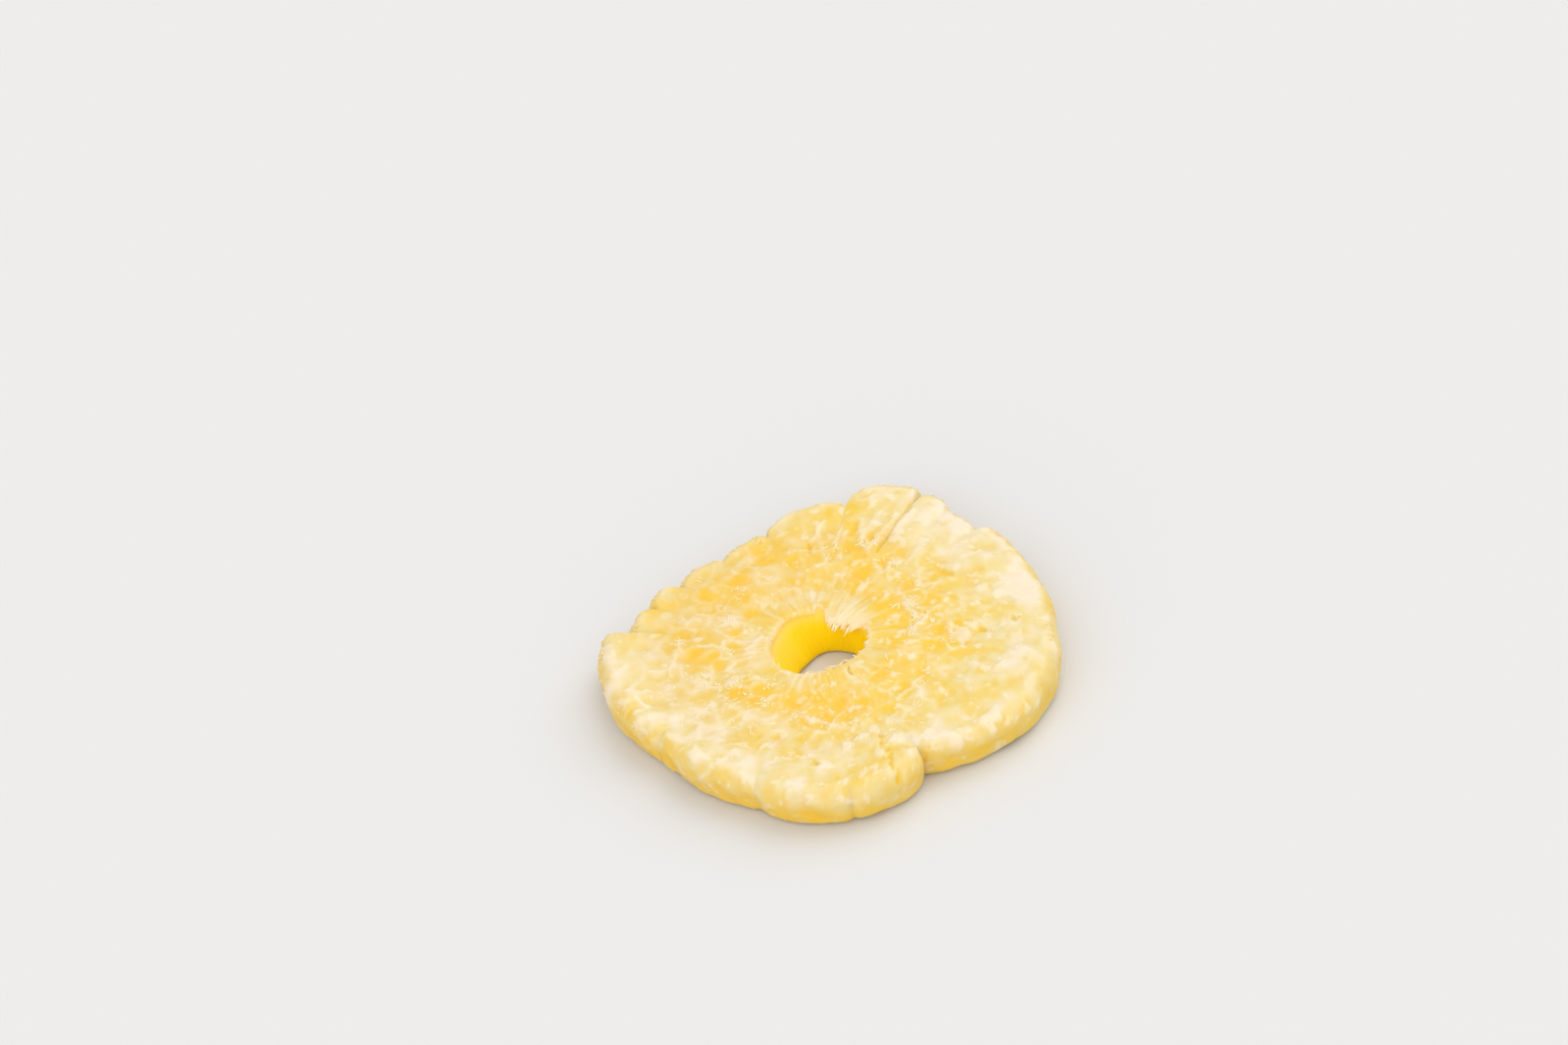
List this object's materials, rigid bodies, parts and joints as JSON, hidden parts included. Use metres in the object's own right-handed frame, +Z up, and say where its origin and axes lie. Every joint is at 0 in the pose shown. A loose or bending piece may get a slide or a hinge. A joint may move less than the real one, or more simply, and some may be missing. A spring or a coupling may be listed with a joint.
{
  "type": "pineapple ring",
  "caption": "Dried, sugared pineapple ring: a flat, lobed slice of fruit round a cored hole, lying with its frosted face up.",
  "frame": {"origin": "middle of the underside of the ring's box, on the surface that the ring lies on", "axes": "+Z up, out of the frosted face; the notch between the lobes faces -Y, the raised end lobe lies towards -X"},
  "size_m": [0.075, 0.075, 0.0086],
  "materials": {
    "sugared_flesh": "translucent pale yellow dried fruit with a dull white bloom of sugar"
  },
  "bodies": {
    "root": {"pineapple_ring": "sugared_flesh"}
  },
  "joints": []
}
